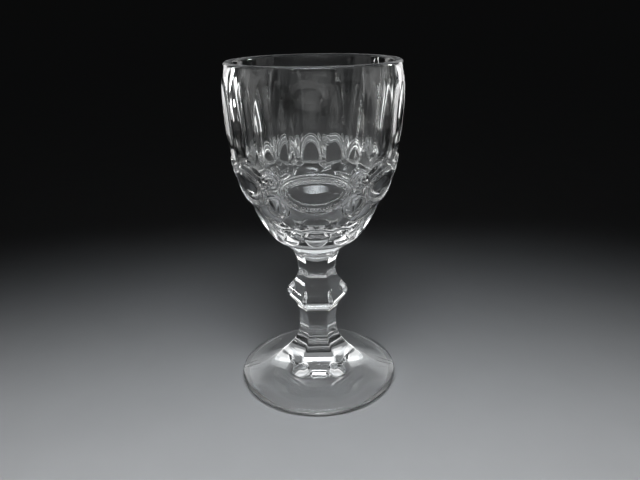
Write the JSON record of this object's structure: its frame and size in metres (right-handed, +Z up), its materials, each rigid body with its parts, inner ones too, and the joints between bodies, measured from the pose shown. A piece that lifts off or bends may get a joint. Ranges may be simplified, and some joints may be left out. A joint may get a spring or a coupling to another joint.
{
  "type": "red wine goblet",
  "caption": "Clear pressed-glass wine goblet: fluted bowl with a belt of oval medallions, six-sided stem with a knop, round domed foot.",
  "frame": {"origin": "middle of the foot's resting plane, on the goblet's axis", "axes": "+Z up the axis to the rim, -Y towards the front medallion"},
  "size_m": [0.084, 0.084, 0.165],
  "materials": {
    "clear_glass": "fire polished, pressed"
  },
  "bodies": {
    "root": {"bowl": "clear_glass", "upper_stem": "clear_glass", "knop": "clear_glass", "lower_stem": "clear_glass", "foot": "clear_glass"}
  },
  "joints": []
}
